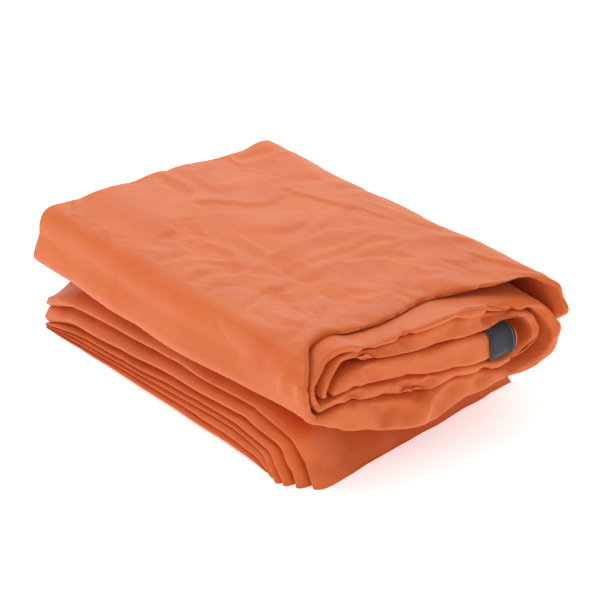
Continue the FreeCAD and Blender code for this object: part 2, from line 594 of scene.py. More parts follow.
@dataclass
class RollShape:
    """Sizes that the roll's passes share, in mm unless they are shares."""

    bottom: float = 46.0
    top: float = 92.0
    passes: int = 6
    front_bend: float = -79.2
    back_bend: float = 75.35
    flare_start: float = 101.0
    flare_end: float = 147.0
    flare_soft: float = 5.0
    flare_most: float = 1.06
    nose: float = 8.0
    left_end: float = -150.5
    left_slant: float = 0.10
    left_nose: float = 3.6
    middle: float = 66.0
    gap: float = 0.35
    boxy: float = 0.5
    crisp: float = 0.7
    fine: int = 12
    lip_points: int = 17
    points_across: int = 93
    step_along: float = 1.25
    lean: float = 0.13
    tilt: float = 0.024

    @property
    def pitch(self) -> float:
        """Distance between two passes.

        Returns:
            Distance in mm.
        """
        return (self.top - self.bottom) / self.passes

    def level(self, index: int) -> float:
        """Middle height of a pass.

        Args:
            index: Pass number from the table side.

        Returns:
            Height in mm.
        """
        return self.bottom + (index + 0.5) * self.pitch

    def flat(self, index: int, loose: list[Row], **lip: float) -> Stretch:
        """A pass that lies flat where the roll is snug.

        Args:
            index: Pass number from the table side.
            loose: Rows at the loose end.
            **lip: Skew, slant, round and nose of the stretch, where they aren't the usual.

        Returns:
            The stretch.
        """
        low, high = self.front_bend + 2, self.back_bend - 2
        reach = [min(max(row[0] * 0.98, low), high) for row in loose]
        thick = self.pitch - self.gap
        return Stretch(loose, [(y, self.level(index), thick) for y in reach], **lip)

    def turn(self, upper: int, lower: int, front: bool, loose: list[Row]) -> Stretch:
        """A bend between two passes.

        Args:
            upper: Number of the higher pass.
            lower: Number of the lower pass.
            front: Whether it is at the front.
            loose: Rows at the loose end, in the order that the strip runs.

        Returns:
            The stretch.
        """
        middle = (self.level(upper) + self.level(lower)) / 2
        radius = (self.level(upper) - self.level(lower)) / 2
        count = len(loose)
        snug = []
        for i in range(count):
            angle = math.pi * (i + 0.5) / count
            height = math.cos(angle) if front else -math.cos(angle)
            y = self.front_bend - radius * math.sin(angle) if front \
                else self.back_bend + radius * math.sin(angle)
            snug.append((y, middle + radius * height, self.pitch - self.gap))
        return Stretch(loose, snug)


@dataclass
class Crease:
    """A pressed line on the outer cloth.

    Attributes:
        points: Corners of the line (x, y, z).
        depth: How deep it is; below 0 it stands up as a ridge.
        width: Half its width.
        sharp: 1 for straight sides, more for a narrow line.
    """

    points: tuple[Place, ...]
    depth: float
    width: float
    sharp: float = 1.2

    def push(self, places: Array) -> Array:
        """Depth of the crease at each place.

        Args:
            places: Points in mm.

        Returns:
            Depth in mm at each place.
        """
        corners = np.array(self.points, float)
        spans = np.linalg.norm(np.diff(corners, axis=0), axis=1)
        total, start = spans.sum(), 0.0
        best = np.full(places.shape[:-1], 1e9)
        where = np.zeros(places.shape[:-1])
        for a, b, span in zip(corners, corners[1:], spans):
            share = np.clip(((places - a) @ (b - a)) / span ** 2, 0, 1)
            off = np.linalg.norm(places - (a + share[..., None] * (b - a)), axis=-1)
            where = np.where(off < best, (start + share * span) / total, where)
            best = np.minimum(best, off)
            start += span
        fade = smooth(np.minimum(where + 0.06, 1.06 - where) / 0.3)
        return self.depth * fade * np.maximum(0, 1 - best / self.width) ** self.sharp


class Roll:
    """The wound strip: three wraps, the mouth in the middle, and its tape."""

    def __init__(self, shape: RollShape) -> None:
        """Keep the sizes and lay out the strip's path.

        Args:
            shape: Sizes that the passes share.
        """
        self.shape = shape
        s = shape
        self.hinge_bend = Stretch(
            [(98, 49.5, 6, 128), (100, 57, 6, 142), (103, 66.5, 5, 155.5),
             (101.5, 77, 4, 152.5), (98.5, 84.6, 3.4, 151), (90, 89.6, 3, 142)],
            [(97.5, 49.8, 6.6), (99.6, 57.5, 7.2), (100.2, 66, 7.3), (99.6, 76, 7.3),
             (97, 85.5, 7.3), (88.5, 89.2, 7.3)], round=0.5, nose=6)
        self.top_pass = s.flat(5, [
            (80, 93, 2.6, 136), (58, 91.6, 3, 129.5), (34, 90.4, 3, 124.5), (16, 90.4, 3, 120.5),
            (-9, 90.4, 3, 126), (-30, 90.4, 3, 129), (-50, 90.4, 3, 127.5), (-64, 90.4, 3, 122.5)],
            skew=-0.95, round=1.0, nose=20)
        self.front_outer = Stretch([
            (-76, 88.9, 3.6, 127), (-84, 84.4, 4.4, 134), (-91.5, 79.6, 4.6, 141),
            (-99.4, 73, 4.6, 147.5), (-99, 64.5, 4.6, 148.5), (-96.6, 57, 4.6, 148.5),
            (-93, 50.5, 5, 148)],
            [(-81.5, 88.2, 7.3), (-93, 87.4, 7.3), (-96.8, 80.5, 7.3), (-97, 71, 7.3),
             (-98.3, 61.5, 7.3), (-98.3, 54, 7.3), (-90, 50.2, 7.3)],
            skew=-0.6, round=0.9, nose=9)
        self.underside = s.flat(0, [
            (-86, 49, 6, 148), (-75, 45.7, 14.5, 148), (-60, 42, 20, 148), (-40, 35.3, 20, 148),
            (-20, 30.8, 20.6, 148.5), (0, 30.3, 21.6, 149), (20, 33, 19.6, 149),
            (40, 34, 14.5, 149), (58, 33.5, 8.5, 149), (72, 33.2, 6.5, 149)],
            skew=0.1, nose=9)
        self.back_middle = s.turn(4, 0, False, [
            (86, 35.5, 6, 149), (96, 40, 7, 149), (100.5, 47, 7, 150), (99.5, 55, 7.5, 150),
            (95, 64, 7.5, 149), (88.7, 70.8, 6.5, 147)])
        self.second_pass = s.flat(4, [
            (80, 75.3, 4.5, 147), (68, 77.7, 4, 147), (54, 80.2, 4, 147), (41, 82.8, 4, 147),
            (28, 85.2, 4, 147), (14, 87.2, 3.6, 147), (-8, 86, 4, 147), (-31, 85.5, 4, 147),
            (-44, 85, 4, 147), (-54, 85.5, 4, 147), (-62, 88.3, 4, 145)],
            skew=-0.8, slant=2, round=0.8, nose=9)
        self.front_middle = s.turn(4, 1, True, [
            (-69, 86.2, 4, 141), (-76, 82, 4.6, 140), (-83, 77.2, 5, 142), (-90.5, 71.6, 5, 145),
            (-92.4, 67, 5, 147), (-91.2, 62, 5, 147), (-88, 56.5, 5, 147)])
        self.lower_pass = s.flat(1, [
            (-82, 56.5, 5, 147), (-72, 57.3, 6, 147), (-60, 57, 8, 147), (-40, 53, 9.6, 147.5),
            (-20, 49.3, 11.6, 148), (0, 47, 10.2, 148.5), (20, 47, 6.8, 148.5),
            (40, 45, 5.8, 148.5), (56, 43.2, 5.8, 148.5), (68, 43, 5.8, 148)],
            skew=0.4, slant=-1)
        self.back_inner = s.turn(3, 1, False, [
            (78, 46, 6, 147.5), (85, 51, 6.2, 147.5), (86, 57.5, 6.2, 147), (82, 64.5, 6, 146.5),
            (75.5, 69.2, 4.6, 146)])
        self.third_pass = s.flat(3, [
            (66, 72.6, 4, 146), (54, 74.5, 6.6, 146.5), (41, 74.4, 12, 147),
            (28, 76.3, 13.3, 147), (14, 78.2, 14, 147), (-8, 77.3, 13, 147),
            (-31, 78.7, 9.2, 147), (-44, 79.5, 6.6, 146.5), (-54, 81, 4.8, 146),
            (-61, 83.5, 4, 145)], skew=-0.3, slant=-1.5)
        self.front_inner = s.turn(3, 2, True, [
            (-65, 81.7, 4, 143), (-69.5, 78.2, 4.2, 143), (-74.5, 74.2, 4.6, 144),
            (-80, 70, 5, 146), (-83.4, 66, 5, 147), (-83.5, 62, 4.5, 147)])
        self.core_pass = s.flat(2, [
            (-77.5, 62, 4, 146.5), (-72, 65, 9, 147.5), (-60, 68.3, 14.5, 148),
            (-40, 67, 15.6, 148.5), (-20, 64, 15.6, 149), (0, 61.5, 17.1, 149.5),
            (20, 60.3, 18.6, 149.5), (40, 58, 18.6, 149.5), (56, 57.2, 18, 149.5),
            (66, 57, 14, 149)])

    def path(self, stretches: list[Stretch]) -> tuple[Array, list[int]]:
        """Sample a run of stretches as one smooth path.

        Args:
            stretches: Stretches in the order that the strip runs.

        Returns:
            Rows of snug y, z, thickness, then loose y, z, thickness, lip, skew, slant, round,
            nose; and the row where each stretch starts.
        """
        rows = []
        for stretch in stretches:
            for loose, snug in zip(stretch.loose, stretch.snug):
                nose = stretch.nose or min(max(2.0 + loose[2] * 0.5, 3.0), self.shape.nose)
                rows.append((*snug, *loose, stretch.skew, stretch.slant, stretch.round, nose))
        rows = np.array(rows, float)
        fine = spline(rows, self.shape.fine)
        place = np.linspace(0, len(rows) - 1, len(fine))
        for column in (3, 4):
            straight = np.interp(place, np.arange(len(rows)), rows[:, column])
            fine[:, column] += (straight - fine[:, column]) * self.shape.crisp
        move = np.linalg.norm(np.diff(fine[:, [0, 1]], axis=0), axis=1)
        move += np.linalg.norm(np.diff(fine[:, [3, 4]], axis=0), axis=1)
        length = np.concatenate([[0], np.cumsum(move / 2)])
        even, cuts, station = [np.zeros(1)], [0], 0
        for stretch in stretches:
            first = length[station * self.shape.fine]
            station = min(station + len(stretch.loose), len(rows) - 1)
            span = length[station * self.shape.fine] - first
            count = max(2, int(span / self.shape.step_along))
            even.append(first + span * np.arange(1, count + 1) / count)
            cuts.append(cuts[-1] + count)
        even = np.concatenate(even)
        return np.stack([np.interp(even, length, column) for column in fine.T], axis=1), cuts

    def flare(self, x: Array) -> Array:
        """Share of the loose-end shape at each x.

        Args:
            x: Places along the strip in mm.

        Returns:
            0 where the roll is snug, 1 at its loose end.
        """
        s = self.shape
        rise = s.flare_soft * np.logaddexp(0, (x - s.flare_start) / s.flare_soft)
        width = (s.flare_end - s.flare_start) / s.flare_soft
        return np.clip(rise / (s.flare_soft * np.logaddexp(0, width)), 0, s.flare_most)

    def rings(self, path: Array) -> tuple[Array, ...]:
        """Turn a path into the rings of a pad.

        Args:
            path: Rows from path().

        Returns:
            Ring points, cloth coordinates, side of each point (1 to -1) and share of the lip.
        """
        s = self.shape
        across = np.linspace(0, 1, s.points_across)
        share, lift, right, left = pad_outline(across, s.lip_points, s.boxy)
        y0, z0, t0, y1, z1, t1, lip, skew, slant, blunt, nose = path.T
        start = s.left_end - (s.middle - z0) * s.left_slant
        x = (start + s.left_nose)[:, None] * (1 - share) + (lip - nose)[:, None] * share
        x = x + right ** blunt[:, None] * nose[:, None] - left * s.left_nose
        x = x + slant[:, None] * lift * smooth((share - SLANT_FROM) / (1 - SLANT_FROM))
        w = self.flare(x)
        y = y0[:, None] * (1 - w) + y1[:, None] * w
        z = z0[:, None] * (1 - w) + z1[:, None] * w
        half = (t0[:, None] * (1 - w) + t1[:, None] * w) / 2
        dy, dz = np.gradient(y, axis=0), np.gradient(z, axis=0)
        size = np.maximum(np.hypot(dy, dz), 1e-9)
        ny, nz = dz / size, -dy / size
        off = half * (lift + right * skew[:, None] * (1 - np.abs(lift)))
        grid = np.stack([x, y + ny * off, z + nz * off], axis=-1)
        run = np.concatenate([[0], np.cumsum(np.hypot(np.diff(y0), np.diff(z0)))])
        uv = np.stack([x, np.broadcast_to(run[:, None], x.shape)], axis=-1) * MM
        return grid, uv, np.broadcast_to(lift, x.shape), np.broadcast_to(right ** 0.5, x.shape)

    def lean(self, grid: Array) -> Array:
        """Let the snug part settle: the front leans out at its foot, the top falls forward.

        Args:
            grid: Points in mm.

        Returns:
            Settled points.
        """
        x, y, z = np.moveaxis(grid, -1, 0)
        snug = SNUG.at(grid)
        push = (self.shape.middle - z) * self.shape.lean * FRONT.at(grid) * snug
        tilt = (y * self.shape.tilt) * UPPER.at(grid) * snug
        return np.stack([x, y - push, z + tilt], axis=-1)

    def wrinkle(self, grid: Array, outer: Array) -> Array:
        """Press soft swells and sharp creases into the outer cloth.

        Args:
            grid: Points in mm.
            outer: 1 on the cloth that shows outside, 0 where it lies on another pass.

        Returns:
            Displaced points.
        """
        move = relief(grid, OUTER_RELIEF, 1.1) * outer
        for crease in CREASES:
            move = move - crease.push(grid) * outer
        return grid + grid_normals(grid) * move[..., None]

    def crumple(self, grid: Array, lip: Array) -> Array:
        """Break up the folded lips at the loose end, less at the foot and the top back.

        Args:
            grid: Points in mm.
            lip: 1 on the lip, falling to 0 on the flat cloth.

        Returns:
            Displaced points.
        """
        move = relief(grid, LIP_RELIEF, 1.2)
        move = move * (1 - 0.6 * FOOT.at(grid))
        move = move * (1 - 0.65 * BACK.at(grid) * ABOVE.at(grid))
        for crease in BUCKLES:
            move = move - crease.push(grid)
        return grid + grid_normals(grid) * (move * lip)[..., None]

    def build(self, shell: Material, tape: Material, binding: Material) -> None:
        """Build the wraps, the mouth and the tape.

        Args:
            shell: Orange cloth.
            tape: Navy tape.
            binding: Tape edge.
        """
        wraps = {
            "outer_wrap": ((self.hinge_bend, self.top_pass, self.front_outer, self.underside),
                           ("back_bend_outer", "top_pass", "front_bend_outer", "underside_pass")),
            "second_wrap": (
                (self.back_middle, self.second_pass, self.front_middle, self.lower_pass),
                ("back_bend_middle", "second_pass", "front_bend_middle", "lower_pass")),
            "inner_wrap": ((self.back_inner, self.third_pass, self.front_inner),
                           ("back_bend_inner", "third_pass", "front_bend_inner")),
        }
        path, cuts = self.path([part for parts, _ in wraps.values() for part in parts])
        grid, uv, lift, lip = self.rings(path)
        rows = np.arange(len(path))[:, None]
        outer_end = cuts[len(wraps["outer_wrap"][0])]
        free = np.clip(lift * 2, 0, 1) * smooth((outer_end - 4 - rows) / 8)
        grid = self.wrinkle(self.crumple(self.lean(grid), lip), free)
        calm = 1 - 0.6 * FRONT_EDGE.at(grid)
        first = 0
        for name, (parts, nodes) in wraps.items():
            rows = slice(cuts[first], cuts[first + len(parts)] + 1)
            first += len(parts)
            piece = loft(name, grid[rows], uv[rows])
            if name == "outer_wrap":
                relax_cloth(piece, (free * (1 - lip) * calm)[rows].ravel())
            finish_piece(piece, shell, Body.ROLL, nodes)
        grid, uv, _, lip = self.rings(self.path([self.core_pass])[0])
        grid = self.crumple(self.lean(grid), lip)
        piece = loft("mouth_roll", grid, uv)
        finish_piece(piece, shell, Body.ROLL, ("mouth_core",))
        self.build_tape(grid, tape, binding)

    def build_tape(self, core: Array, tape: Material, binding: Material) -> None:
        """Build the closure tape, its bound edge and its stitches.

        Args:
            core: Grid of the mouth pass.
            tape: Navy tape.
            binding: Bound edge.
        """
        piece = loft("closure_tape_band", *Band((45.8, 41.3), (61.8, 60.2), 1.0).rings(core))
        finish_piece(piece, tape, Body.ROLL, ("closure_tape",))
        piece = loft("tape_edge_binding", *Band((62.0, 60.4), (64.3, 63.0), 1.3).rings(core))
        finish_piece(piece, binding, Body.ROLL, ("tape_binding",))
        for side, place in (("near", (47.6, 43.2)), ("far", (60.2, 58.5))):
            face = Band(place, place, 1.25, back=26).rings(core)[0][0]
            piece = StitchRow().sew(f"tape_stitches_{side}", face[:len(face) // 2], binding)
            finish_piece(piece, binding, Body.ROLL)


@dataclass(frozen=True)
class Band:
    """A flat band folded round the lip of the mouth.

    Attributes:
        low: Place along Y of its first edge, at its lower and upper end.
        high: The same for its second edge.
        thick: Thickness in mm.
        back: How far each leg runs back along the strip.
        under: Air under the band in mm.
        over: Height of its face over that of the lip, besides its thickness, in mm.
        wave: Height of its waves in mm.
        steps: Points from edge to edge.
    """

    low: tuple[float, float]
    high: tuple[float, float]
    thick: float
    back: float = 30.0
    under: float = 0.12
    over: float = 0.15
    wave: float = 0.25
    steps: int = 12

    def rings(self, core: Array) -> tuple[Array, Array]:
        """Lay the band on the mouth.

        Args:
            core: Grid of the mouth pass.

        Returns:
            Ring points and cloth coordinates.
        """
        normals = grid_normals(core)
        x, _, z = core[len(core) // 2].T
        from_x = x.max() - self.back
        keep = [k for k in np.argsort(np.arctan2(z - z.mean(), x - from_x)) if x[k] > from_x]
        outer, inner = [], []
        for t in np.linspace(0, 1, self.steps):
            out_row, in_row = [], []
            for k, up in zip(keep, np.arange(len(keep)) / (len(keep) - 1)):
                low, high = (e[0] * (1 - up) + e[1] * up for e in (self.low, self.high))
                y = low * (1 - t) + high * t
                at, normal = (np.array([np.interp(y, core[:, k, 1], source[:, k, axis])
                                        for axis in range(3)]) for source in (core, normals))
                wave = self.wave * math.sin(5 * t + 3 * up)
                out_row.append(at + normal * (self.thick + self.over + wave))
                in_row.append(at + normal * (self.under + wave))
            outer.append(out_row), inner.append(in_row)
        rings = np.concatenate([np.array(outer), np.array(inner)[:, ::-1]], axis=1)
        steps = np.linalg.norm(np.diff(rings[0, :len(keep)], axis=0), axis=1)
        run = np.concatenate([[0], np.cumsum(steps)])
        run = np.broadcast_to(np.concatenate([run, run[::-1]]), rings.shape[:2])
        return rings, np.stack([rings[:, :, 1], run], axis=-1) * MM


@dataclass
class StitchRow:
    """A row of lock stitches laid along a line.

    Attributes:
        pitch: Distance from one stitch to the next in mm.
        length: Length of a stitch in mm.
        thread: Thread diameter in mm.
    """

    pitch: float = 2.6
    length: float = 1.9
    thread: float = 0.55

    def tree(self, material: Material) -> Tree:
        """Build the node tree that lays the stitches.

        Args:
            material: Thread material.

        Returns:
            A geometry node tree with named inputs for the sizes.
        """
        tree = bpy.data.node_groups.new("stitch_row", "GeometryNodeTree")
        tree.interface.new_socket("Line", in_out="INPUT", socket_type="NodeSocketGeometry")
        for name in ("Pitch", "Length", "Thread"):
            tree.interface.new_socket(name, in_out="INPUT", socket_type="NodeSocketFloat")
        tree.interface.new_socket("Stitches", in_out="OUTPUT", socket_type="NodeSocketGeometry")
        given = tree.nodes.new("NodeGroupInput").outputs
        curve = add_node(tree, "GeometryNodeMeshToCurve", {"Mesh": given["Line"]})
        points = add_node(tree, "GeometryNodeResampleCurve",
                          {"Curve": curve, "Length": given["Pitch"]}, mode="LENGTH")
        ball = add_node(tree, "GeometryNodeMeshUVSphere", in_Segments=8, in_Rings=6, in_Radius=0.5)
        size = add_node(tree, "ShaderNodeCombineXYZ",
                        {"X": given["Thread"], "Y": given["Thread"], "Z": given["Length"]})
        stitch = add_node(tree, "GeometryNodeTransform", {"Geometry": ball, "Scale": size})
        tangent = add_node(tree, "GeometryNodeInputTangent")
        turn = add_node(tree, "FunctionNodeAlignRotationToVector", {"Vector": tangent}, axis="Z")
        laid = add_node(tree, "GeometryNodeInstanceOnPoints",
                        {"Points": points, "Instance": stitch, "Rotation": turn})
        real = add_node(tree, "GeometryNodeRealizeInstances", {"Geometry": laid})
        dressed = add_node(tree, "GeometryNodeSetMaterial", {"Geometry": real},
                           in_Material=material)
        add_node(tree, "NodeGroupOutput", {"Stitches": dressed})
        return tree

    def sew(self, name: str, line: Array, material: Material) -> Piece:
        """Lay stitches along a line and turn them into a plain mesh.

        Args:
            name: Piece name.
            line: Points in mm.
            material: Thread material.

        Returns:
            The piece.
        """
        path = bpy.data.meshes.new(name + "_line")
        path.from_pydata((line * MM).tolist(), [(i, i + 1) for i in range(len(line) - 1)], [])
        piece = add_object(name, path)
        modifier = piece.modifiers.new("stitches", "NODES")
        tree = self.tree(material)
        modifier.node_group = tree
        sizes = {"Pitch": self.pitch, "Length": self.length, "Thread": self.thread}
        for item in tree.interface.items_tree:
            if item.in_out == "INPUT" and item.name in sizes:
                modifier[item.identifier] = sizes[item.name] * MM
        bpy.context.view_layer.update()
        evaluated = piece.evaluated_get(bpy.context.evaluated_depsgraph_get())
        mesh = bpy.data.meshes.new_from_object(evaluated)
        piece.modifiers.remove(modifier)
        piece.data = mesh
        mesh.uv_layers.active = mesh.uv_layers.new(name="cloth")
        mesh.polygons.foreach_set("use_smooth", np.ones(len(mesh.polygons), bool))
        mesh.name = name
        return piece


# Where the roll's cloth settles and how far its relief reaches.
SNUG = Ramp(0, 110, -120)
FRONT = Ramp(1, -60, -35)
FRONT_EDGE = Ramp(1, -82, -10)
BACK = Ramp(1, 84, 12)
UPPER = Ramp(2, 50, 30)
ABOVE = Ramp(2, 44, 12)
FOOT = Ramp(2, 36, -8)
# Share of a pass's width from which its lip slants.
SLANT_FROM = 0.85
OUTER_RELIEF = (
    Layer(Pattern.SWELL, (140, 40, 42), 3.1, 2.0),
    Layer(Pattern.SWELL, (60, 26, 26), 9.7, 0.6),
    Layer(Pattern.RIDGE, (110, 40, 40), 21.3, 2.8),
    Layer(Pattern.RIDGE, (34, 20, 20), 5.9, 0.3),
)
LIP_RELIEF = (
    Layer(Pattern.SWELL, (40, 34, 16), 4.4, 0.9),
    Layer(Pattern.RIDGE, (44, 24, 14), 17.2, 1.4),
    Layer(Pattern.FACET, (40, 30, 17), 2.7, 2.4),
)
PLEAT_RELIEF = (
    Layer(Pattern.SWELL, (60, 30, 14), 3.3, 1.4),
    Layer(Pattern.RIDGE, (48, 20, 16), 8.1, 2.0),
)
SLOPE_RELIEF = (Layer(Pattern.RIDGE, (60, 50, 40), 2.2, 4.0),)
# Each line below: depth and half width in mm, then the corners (x, y, z).
CREASES = [Crease(corners, depth, width) for depth, width, *corners in (
    (-1.3, 13, (50, -50, 91), (49, -15, 91), (50, 35, 92), (58, 73, 93), (83, 99, 92)),
    (1.4, 26, (80, -60, 90), (78, -10, 91), (80, 40, 91)),
    (-0.8, 8, (29, -55, 91), (14, -12, 91), (1, 19, 92), (-16, 68, 93)),
    (1.4, 14, (34, -30, 91), (27, 5, 91), (31, 45, 92)),
    (1.6, 11, (-77, 58, 92), (-64, 76, 93), (-59, 97, 92)),
    (1.5, 9, (-132, 56, 92), (-129, 76, 93), (-123, 97, 92)),
    (1.2, 10, (-40, 72, 93), (-30, 98, 91)),
    (1.2, 16, (-104, -6, 90), (-86, 12, 91), (-80, 36, 92)),
    (0.9, 5, (76, -98, 82), (73, -90, 88), (55, -57, 91)),
    (0.7, 5, (62, -100, 78), (60, -90, 88), (50, -72, 90)),
    (1.8, 9, (121, -70, 89), (100, -78, 90), (70, -84, 89)),
    (1.6, 10, (119, -60, 90), (92, -52, 91), (70, -40, 91)),
    (1.6, 9, (122, -72, 90), (112, -92, 88), (104, -104, 70)),
    (-1.4, 6, (128, -84, 88), (130, -98, 78), (126, -104, 62)),
    (1.3, 6, (140, -96, 80), (136, -104, 62), (120, -104, 54)),
    (1.0, 5, (124, 6, 90), (104, 4, 91)),
    (1.1, 5, (127, 18, 90), (108, 22, 91)),
    (1.3, 12, (129, 60, 91), (104, 52, 92), (84, 40, 92)),
    (0.9, 16, (-150, -90, 84), (-60, -101, 70)),
    (-0.8, 14, (-150, -98, 62), (-20, -103, 58)),
)]
BUCKLES = [Crease(corners, depth, width, 1.0) for depth, width, *corners in (
    (5.5, 8, (150, -24, 57), (148, -17, 43)),
    (4.5, 6, (150, 2, 51), (149, -8, 46), (148, -17, 43)),
    (6.0, 10, (150, -42, 50), (148, -36, 36), (146, -33, 29)),
    (5.0, 7, (150, -36, 48), (148, -23, 35), (146, -14, 27)),
    (-4.5, 8, (150, -5, 41), (148, -9, 31), (146, -12, 22)),
    (4.5, 8, (150, 24, 42), (148, 10, 33), (146, -2, 27)),
    (3.5, 7, (150, 46, 42), (148, 34, 35)),
    (-5.5, 12, (134, 66, 92), (142, 44, 90), (147, 17, 88)),
    (5.0, 8, (140, 74, 84), (147, 54, 80), (148, 40, 81)),
    (5.0, 7, (148, 47, 83), (148, 41, 74)),
    (3.0, 7, (148, -20, 88), (148, -26, 80)),
    (4.5, 7, (150, 90, 72), (150, 84, 60), (149, 76, 56)),
    (4.5, 7, (151, 92, 54), (150, 80, 46), (149, 62, 42)),
    (-2.5, 6, (151, 104, 62), (150, 98, 50), (149, 88, 38)),
    (4.0, 7, (148, -56, 86), (148, -50, 76)),
    (4.0, 7, (148, -66, 62), (148, -58, 52)),
    (2.5, 8, (149, -52, 76), (149, -46, 60)),
)]


# ---- stack


@dataclass
class Stack:
    """Six pleats under the roll, whose loose ends droop to the table.

    Attributes:
        planes: Heights of the planes between pleats, table first.
        fronts: Heights of the same creases along the front edge, one list per plane.
        stations: X of those heights.
        tips: How far each crease's foot stands behind the outermost one, table first.
        feet: Y of each crease's front corner where it meets the table.
    """

    planes: tuple[float, ...] = (0, 5, 10, 15, 21, 33, 46)
    stations: tuple[float, ...] = (-150, -130, -112, -77, -29, 36, 91, 150)
    fronts: tuple[tuple[float, ...], ...] = (
        (0, 0, 0, 0, 0, 0, 0, 0),
        (0.5, 1.5, 2.6, 4.3, 5.8, 6.6, 7, 7),
        (1.2, 3.2, 5.8, 7.6, 9.9, 13.2, 14, 14),
        (2.0, 5.2, 8.6, 11.2, 13.4, 17.4, 19, 20),
        (3.2, 8.5, 12.0, 15.2, 18.2, 22, 25.5, 27),
        (15, 20.5, 25.5, 28, 30.7, 33.5, 35.5, 36),
        (21, 31, 38, 40.5, 42, 43.8, 45.8, 46),
    )
    tips: tuple[float, ...] = (44, 37, 30, 24, 18, 9, 0)
    feet: tuple[float, ...] = (-98, -99, -101, -102, -99, -92, -87)
    front: float = -98.0
    back: float = 98.0
    left: float = -147.0
    tip: float = 147.0
    skew: float = 0.19
    gap: float = 0.2
    droop: float = 46.0
    bend: float = 0.04
    floor: float = 0.05
    level: float = 0.42
    thin_nose: float = 7.0
    thick_nose: float = 13.0
    back_nose: float = 2.0
    cover_flap: float = 4.5

    def crease(self, index: int, s: Array, y: Array) -> tuple[Array, Array]:
        """Place of the crease under a pleat.

        Args:
            index: Crease number, table first.
            s: Share along the flat part 0..1, then the drooping part 1..2.
            y: Distance from front to back in mm.

        Returns:
            X and Z in mm.
        """
        foot = self.tip - self.tips[index] - self.skew * (y + 90)
        near = smooth((-45 - y) / 50)
        knee = foot - self.droop - self.tips[index] * 0.15
        x_flat = self.left + (knee - self.left) * np.clip(s, 0, 1)
        front = np.interp(x_flat, self.stations, self.fronts[index])
        rise = self.planes[index] * (1 - near) + front * near
        t = np.clip(s - 1, 0, 1)
        # The droop has two straight runs: half of it reaches this far out and this far down.
        out, drop = 0.5 + 0.23 * near, 0.50 - 0.28 * near
        turn = self.bend * np.logaddexp(0, (t - 0.5) / self.bend)
        x = x_flat + (foot - knee) * (2 * out * (t - turn) + 2 * (1 - out) * turn)
        z = rise * np.maximum(1 - 2 * drop * (t - turn) - 2 * (1 - drop) * turn, 0)
        return x, z

    def rings(self, index: int) -> tuple[Array, Array]:
        """Rings of one pleat.

        Args:
            index: Pleat number, table first.

        Returns:
            Ring points and cloth coordinates.
        """
        is_cover = index == len(self.tips) - 2
        thick = self.planes[index + 1] - self.planes[index]
        along = np.concatenate([np.linspace(0, 0.02, 7)[:-1], np.linspace(0.02, 1, 90)[:-1],
                                np.linspace(1, 2, 44)])
        share, lift, back, front = pad_outline(np.linspace(0, 1, 60) ** 1.4, 11)
        s = along[:, None] + 0 * share
        # The front lip narrows to a point over its nose, which is short at the left end.
        nose = self.thin_nose if thick < 8 else self.thick_nose
        nose = nose * (0.3 + 0.7 * smooth(s / 0.16))
        y = (self.front + nose) * (1 - share) + (self.back - self.back_nose) * share
        y = y - front * nose + back * self.back_nose
        y = y + (self.cover_flap * smooth(s - 0.9) * share if is_cover else 0)
        foot = (self.feet[index] + self.feet[index + 1]) / 2 - self.front
        y = y + foot * smooth(s - 1) * smooth((0.5 - share) / 0.5)
        xt, zt = self.crease(index + 1, s, y)
        xb, zb = self.crease(index, s, y)
        zt, zb = zt - self.gap * np.minimum(1, zt), zb + self.gap
        bulge = np.abs(lift) ** 1.25
        blend = self.level + np.where(lift >= 0, (1 - self.level) * bulge, -self.level * bulge)
        blend = np.where(front > 0, blend, (1 + lift) / 2)
        grow = (1 - (1 - np.clip(along / 0.016, 0, 1)) ** 2)[:, None] ** 0.5
        blend = 0.45 + (blend - 0.45) * (0.80 + 0.20 * grow)
        z = np.maximum(zb + (zt - zb) * blend, self.floor)
        grid = np.stack([xb + (xt - xb) * blend, y, z], axis=-1)
        face = np.where(front > 0, 1.0, 0.25) + 0 * s
        move = relief(grid, PLEAT_RELIEF, 0.7, index)
        if is_cover:
            slope = smooth(s - 0.95) * (lift > 0)
            move = move + slope * relief(grid, SLOPE_RELIEF, 1.2)
            face = np.maximum(face, slope)
        move = move * face * min(1.0, thick / 9)
        grid[..., 0] += move * smooth(s - 1) * 0.6
        grid[..., 1] -= move * 1.6 * (front > 0)
        grid[..., 2] = np.maximum(grid[..., 2] + move * 0.35, self.floor)
        step = np.linalg.norm(np.diff(grid[:, 10, [0, 2]], axis=0), axis=1)
        run = np.concatenate([[0], np.cumsum(step)])
        return grid, np.stack([run[:, None] + 0 * y, y], axis=-1) * MM

    def build(self, cloth: Material, fold: Material) -> None:
        """Build the pleats and the folds that join them at the back.

        Args:
            cloth: Material of the pleats.
            fold: Material of the folds, the shell cloth made darker as painted shade.
        """
        bodies = [Body.BASE, Body.PLEAT_2, Body.PLEAT_3, Body.PLEAT_4, Body.PLEAT_5, Body.COVER]
        for index, (body, above) in enumerate(zip(bodies, bodies[1:] + [Body.ROLL])):
            last = above is Body.ROLL
            node = "stack_cover_leaf" if last else f"stack_pleat_{index + 1}"
            piece = loft(node + "_cloth", *self.rings(index))
            finish_piece(piece, cloth, body, (node,))
            node = "roll_hinge_fold" if last else f"back_fold_{index + 1}"
            self.build_fold(node, body, above, fold)

